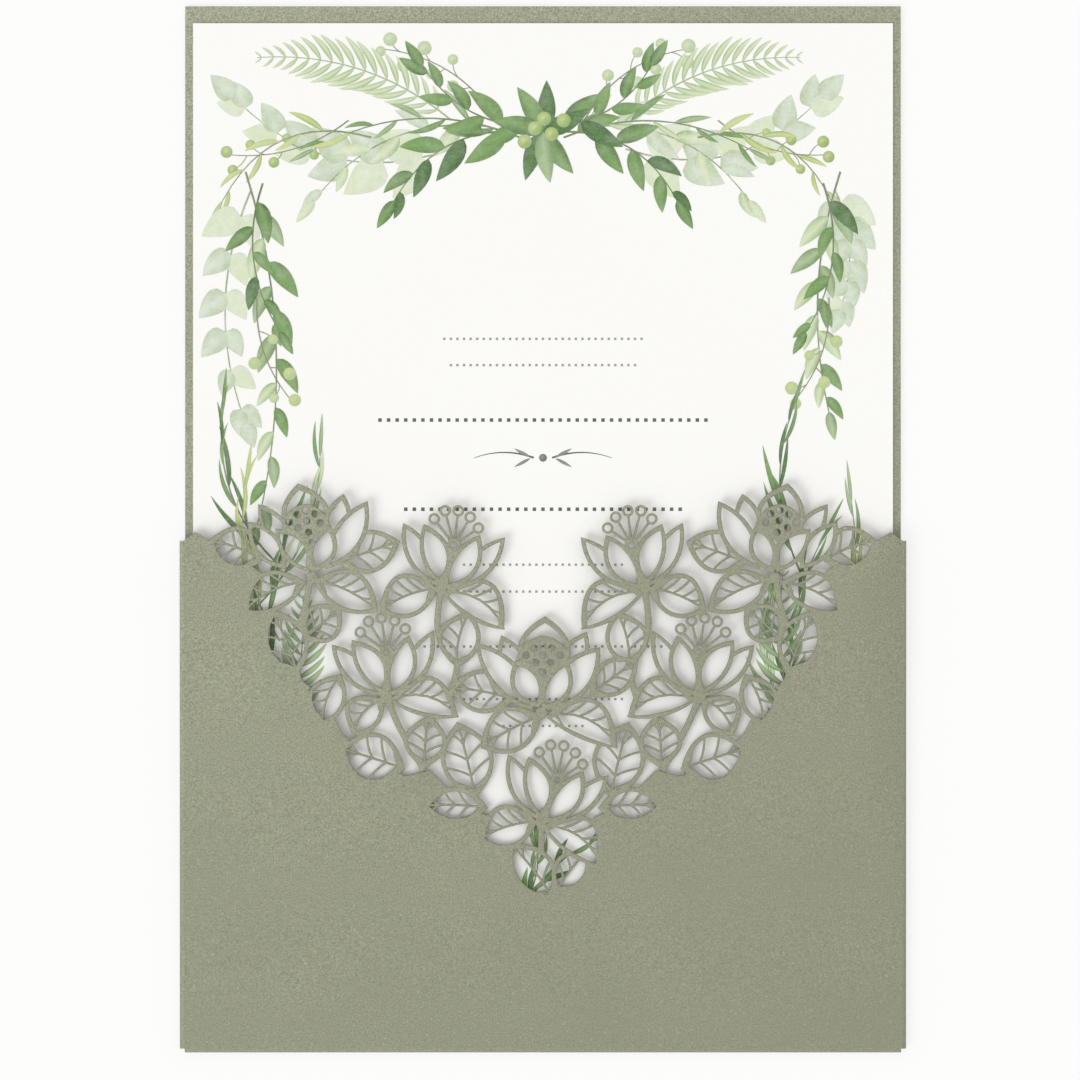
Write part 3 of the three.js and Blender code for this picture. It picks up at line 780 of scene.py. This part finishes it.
def sprig(layer, draw, start, end, bend, count, length, shape, tones, spread=48, pairs=False, tip=True):
    """A stem with leaves that get smaller towards its tip, alternate or in pairs."""
    stem = bow(start, end, bend)
    line(layer, stem, *SPRIG_STEM, blend_tones(BARK, tones[0], 0.4))
    for index in range(count):
        share = FIRST_LEAF + LEAF_STRETCH * index / max(count - 1, 1)
        x, y, heading = along(stem, share)
        sides = (1, -1) if pairs else ((1, -1)[index % 2],)
        for side in sides:
            size = length * (1 - TIP_SHRINK * share) * draw.uniform(*LEAF_SIZES)
            turn = heading + side * (spread * (1 - TIP_CLOSING * share) + draw.uniform(*LEAF_SWAY))
            dark, light = draw.choice(tones[1])
            leaf(layer, x, y, turn, size, shape, dark, light, -side * draw.uniform(*LEAF_CURLS))
    if tip:
        x, y, heading = along(stem, 1.0)
        dark, light = tones[1][0]
        leaf(layer, x, y, heading, length * 0.6, shape, dark, light)


def berries(layer, draw, start, end, bend, count, radius, tones):
    """A stem with berries on short stalks."""
    stem = bow(start, end, bend)
    line(layer, stem, *BERRY_STEM, tones[0])
    for index in range(count):
        x, y, heading = along(stem, FIRST_BERRY + BERRY_STRETCH * index / max(count - 1, 1))
        turn = math.radians(heading + (1, -1)[index % 2] * draw.uniform(*STALK_TURNS))
        reach = draw.uniform(*STALK_REACH) if index < count - 1 else LAST_STALK
        bx, by = x + reach * math.cos(turn), y + reach * math.sin(turn)
        line(layer, bow((x, y), (bx, by), 0.1, 4), *BERRY_STALK, tones[0])
        disc(layer, bx, by, radius * draw.uniform(*BERRY_SIZES), tones[1], tones[2])


def fern(layer, draw, start, end, bend, count, length, dark, light):
    """A frond of narrow leaflets in pairs."""
    stem = bow(start, end, bend)
    line(layer, stem, *FROND_STEM, blend_tones(dark, light, 0.3))
    for index in range(count):
        share = 0.08 + 0.9 * index / (count - 1)
        x, y, heading = along(stem, share)
        size = length * math.sin(math.pi * (0.16 + 0.8 * share)) * draw.uniform(0.92, 1.08) + 0.5
        for side in (1, -1):
            turn = heading + side * LEAFLET_SPREAD
            leaf(layer, x, y, turn, size, "slender", dark, light, -side * LEAFLET_CURL)


DARK_TONES = (DEEP, ((DEEP, LEAF), (FOREST, LEAF), (DEEP, FOREST)))
MID_TONES = (FOREST, ((FOREST, SAGE), (LEAF, PALE), (FOREST, LEAF)))
PALE_TONES = (LEAF, ((SAGE, PALE), (SAGE, SILVER), (LEAF, PALE)))
LIME_TONES = (LEAF, ((LEAF, LIME), (SAGE, LIME)))
SILVER_TONES = (SAGE, ((SAGE, SILVER), (SILVER, PALE)))


GARLAND_SEED = 11
GARLAND_HEART = (0.0, 161.0)
HEART_LEAVES = (
    (78, DEEP, FOREST), (112, FOREST, LEAF), (-62, DEEP, LEAF), (-118, DEEP, FOREST),
    (18, DEEP, FOREST), (160, DEEP, LEAF), (-90, FOREST, SAGE),
)
HEART_BERRIES = ((-1.4, 161.6), (1.5, 160.6), (0.2, 163.3), (-3.2, 159.3), (3.6, 163.0))
GRASS = (
    (-47, 86, -56, 112, 0.12, DARK_TONES),
    (-50, 78, -39, 104, -0.1, MID_TONES),
    (-46, 72, -52, 99, 0.1, LIME_TONES),
    (-47, 58, -44, 92, 0.08, DARK_TONES),
    (45, 84, 43.5, 112, 0.1, DARK_TONES),
    (47, 56, 54, 96, -0.08, MID_TONES),
    (45, 58, 49, 90, 0.1, DARK_TONES),
    (44, 66, 55, 84, -0.12, LIME_TONES),
    (42, 58, 40, 80, 0.08, MID_TONES),
)
LOW_SPRIGS = ((-3, 25, 9, 37, 0.1), (-4, 25, -1, 36, -0.1))


def garland_side(wash, crown, draw, side, reach):
    """The sprigs, berries and frond on one side of the garland."""
    def at(x, y):
        return side * x * reach, y
    sprig(wash, draw, at(16, 158), at(54, 167), -0.16 * side, 6, 9.6, "round", SILVER_TONES, 55, True)
    sprig(wash, draw, at(10, 162), at(40, 149), 0.14 * side, 6, 8.4, "ovate", PALE_TONES, 44)
    berries(crown, draw, at(8, 163), at(28, 175.5), 0.12 * side, 7, 1.1, (BARK, SAGE, PALE))
    berries(crown, draw, at(34, 163), at(55, 157), -0.1 * side, 6, 0.95, (BARK, LEAF, LIME))
    fern(crown, draw, at(16, 163), at(50, 174), 0.1 * side, 17, 6.2, LEAF, PALE)
    sprig(crown, draw, at(4, 160), at(40, 158), 0.12 * side, 8, 8.4, "slender", MID_TONES, 40)
    sprig(crown, draw, at(30, 160), at(56, 149), 0.2 * side, 7, 7.6, "slender", LIME_TONES, 42)
    sprig(crown, draw, at(3, 161), at(26, 149), 0.16 * side, 7, 9.6, "ovate", DARK_TONES, 46)
    sprig(crown, draw, at(1, 162), at(21, 172.5), -0.14 * side, 7, 9.0, "ovate", DARK_TONES, 48)


def trail(wash, crown, draw, side, top, foot):
    """The leaves and berries that hang down one side of the card."""
    start, end = (side * 51, top + 3), (side * 52, foot + 18)
    sprig(wash, draw, start, end, 0.1 * side, 6, 7.6, "round", SILVER_TONES, 58, True)
    sprig(crown, draw, (side * 52, top + 6), (side * 50, foot), -0.07 * side, 13, 8.4, "ovate", MID_TONES, 46)
    start, end = (side * 49, top + 4), (side * 46, top - 22)
    sprig(crown, draw, start, end, 0.12 * side, 6, 7.6, "ovate", DARK_TONES, 44)
    start, end = (side * 50, top - 16), (side * 44, top - 34)
    berries(crown, draw, start, end, 0.1 * side, 5, 1.0, (BARK, SAGE, LIME))


def greenery():
    """A garland across the top of the card, with trails down both sides and grass below."""
    draw = random.Random(GARLAND_SEED)
    wash = PrintLayer("print_pale_leaves", ink("pale_wash", 0.4))
    crown = PrintLayer("print_leaves", ink("leaf_wash", 0.14))
    for side, reach in ((-1, 1.0), (1, 0.9)):
        garland_side(wash, crown, draw, side, reach)
    for turn, dark, light in HEART_LEAVES:
        leaf(crown, *GARLAND_HEART, turn, 9.0, "ovate", dark, light, 8)
    for x, y in HEART_BERRIES:
        disc(crown, x, y, 1.25, LEAF, LIME)
    for side, top, foot in ((-1, 148, 92), (1, 148, 112)):
        trail(wash, crown, draw, side, top, foot)
    for ax, ay, bx, by, bend, tones in GRASS:
        sprig(crown, draw, (ax, ay), (bx, by), bend, 7, 13.0, "blade", tones, 18)
    fern(crown, draw, (46, 50), (42, 84), 0.06, 14, 6.0, FOREST, SAGE)
    fern(crown, draw, (-47, 52), (-42, 80), -0.06, 14, 6.0, FOREST, SAGE)
    for ax, ay, bx, by, bend in LOW_SPRIGS:
        sprig(crown, draw, (ax, ay), (bx, by), bend, 5, 7.5, "slender", DARK_TONES, 34)
    wash.finish()
    crown.finish()


# Half the width of each written row and its height on the page
PALE_ROWS = (
    (17.4, 124.8), (16.6, 120.2), (13.8, 85.3), (20.6, 80.6), (20.8, 71.0), (14.6, 61.8), (7.3, 57.1),
)
DARK_ROWS = ((29.0, 110.6), (25.3, 95.0))
ORNAMENT_Y = 104


def dotted_row(layer, half_width, y, size, gap, tone):
    """A row of small upright marks, as a dotted line to write on."""
    count = int(half_width / gap)
    for index in range(-count, count + 1):
        x = index * gap
        line(layer, [(x, y - size / 2), (x, y + size / 2)], size, size, tone)


def writing_rows():
    """Plain dotted lines and a small ornament where a card of this kind is filled in."""
    rows = PrintLayer("print_rows", ink("grey_ink", 0.05))
    for half_width, y in PALE_ROWS:
        dotted_row(rows, half_width, y, 0.42, 1.15, SOFT_GREY)
    for half_width, y in DARK_ROWS:
        dotted_row(rows, half_width, y, 0.62, 1.5, INK_GREY)
    for side in (-1, 1):
        line(rows, bow((side * 1.6, ORNAMENT_Y), (side * 12, ORNAMENT_Y), 0.09 * side), 0.34, 0.1, INK_GREY)
        leaf(rows, side * 2.2, ORNAMENT_Y + 0.1, 90 - side * 62, 3.2, "slender", INK_GREY, SOFT_GREY)
        leaf(rows, side * 2.2, ORNAMENT_Y - 0.1, 270 + side * 62, 3.2, "slender", INK_GREY, SOFT_GREY)
    disc(rows, 0, ORNAMENT_Y, 0.7, INK_GREY, SOFT_GREY)
    rows.finish()


# Light, floor and camera

def shown_as_white(tree, plain, strength):
    """Mixes a shader with plain white for what the camera sees directly, in gloss or through glass."""
    path = tree.nodes.new("ShaderNodeLightPath")
    seen = path.outputs["Is Camera Ray"]
    for name in ("Is Glossy Ray", "Is Transmission Ray"):
        both = tree.nodes.new("ShaderNodeMath")
        both.operation = "MAXIMUM"
        tree.links.new(seen, both.inputs[0])
        tree.links.new(path.outputs[name], both.inputs[1])
        seen = both.outputs["Value"]
    scaled = tree.nodes.new("ShaderNodeMath")
    scaled.operation = "MULTIPLY"
    scaled.inputs[1].default_value = strength
    tree.links.new(seen, scaled.inputs[0])
    white = tree.nodes.new("ShaderNodeEmission")
    both = tree.nodes.new("ShaderNodeMixShader")
    tree.links.new(scaled.outputs["Value"], both.inputs["Fac"])
    tree.links.new(plain, both.inputs[1])
    tree.links.new(white.outputs["Emission"], both.inputs[2])
    return both.outputs["Shader"]


WORLD_TINT = (1.0, 0.982, 0.968, 1.0)
WORLD_STRENGTH = 0.755
SUN_ENERGY = 1.15
SUN_SPREAD = math.radians(34)
SUN_TINT = (0.97, 1.0, 1.0)
SUN_HEADING = (0.56, 0.5, -0.72)
FLOOR_HALF = 1.2
FLOOR_DROP = 0.00005
FLOOR_WHITE = 0.75          # the share of plain white in the floor: the rest keeps the shadow


def surroundings():
    world = bpy.data.worlds.new("studio")
    bpy.context.scene.world = world
    world.use_nodes = True
    tree = world.node_tree
    glow = tree.nodes["Background"]
    glow.inputs["Color"].default_value = WORLD_TINT
    glow.inputs["Strength"].default_value = WORLD_STRENGTH
    shown = shown_as_white(tree, glow.outputs["Background"], 1.0)
    tree.links.new(shown, tree.nodes["World Output"].inputs["Surface"])


def key_lamp():
    lamp = bpy.data.lights.new("key", "SUN")
    lamp.energy = SUN_ENERGY
    lamp.angle = SUN_SPREAD
    lamp.color = SUN_TINT
    key = bpy.data.objects.new("key", lamp)
    bpy.context.scene.collection.objects.link(key)
    key.rotation_euler = Vector(SUN_HEADING).to_track_quat("-Z", "Y").to_euler()


def pale_floor():
    mesh = bpy.data.meshes.new("floor")
    corners = [(x * FLOOR_HALF, y * FLOOR_HALF, 0) for x, y in ((-1, -1), (1, -1), (1, 1), (-1, 1))]
    mesh.from_pydata(corners, [], [(0, 1, 2, 3)])
    floor = bpy.data.objects.new("floor", mesh)
    floor.location.z = -FLOOR_DROP
    bpy.context.scene.collection.objects.link(floor)
    material, tree, shader = new_material("pale_floor", 0.8)
    shader.inputs["Base Color"].default_value = linear(246, 246, 245)
    shown = shown_as_white(tree, shader.outputs["BSDF"], FLOOR_WHITE)
    tree.links.new(shown, tree.nodes["Material Output"].inputs["Surface"])
    dress(floor, material)


def page_camera():
    """Looks straight down on the page, as the photograph does."""
    lens = bpy.data.cameras.new("camera")
    lens.sensor_width = SENSOR_WIDTH
    lens.lens = SENSOR_WIDTH * CAMERA_HEIGHT / (FRAME_WIDTH * MM)
    lens.clip_start = 0.05
    camera = bpy.data.objects.new("camera", lens)
    camera.location = (VIEW_CENTRE[0] * MM, VIEW_CENTRE[1] * MM, CAMERA_HEIGHT + FACE_LEVEL * MM)
    bpy.context.scene.collection.objects.link(camera)
    bpy.context.scene.camera = camera
    bpy.context.scene.view_settings.view_transform = "Standard"


surroundings()
key_lamp()
pale_floor()
page_camera()
folder_piece(pearl_card())
dress(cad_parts["insert_card"], white_card())
tape = clear_tape()
dress(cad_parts["left_flap_tape"], tape)
dress(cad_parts["right_flap_tape"], tape)
greenery()
writing_rows()
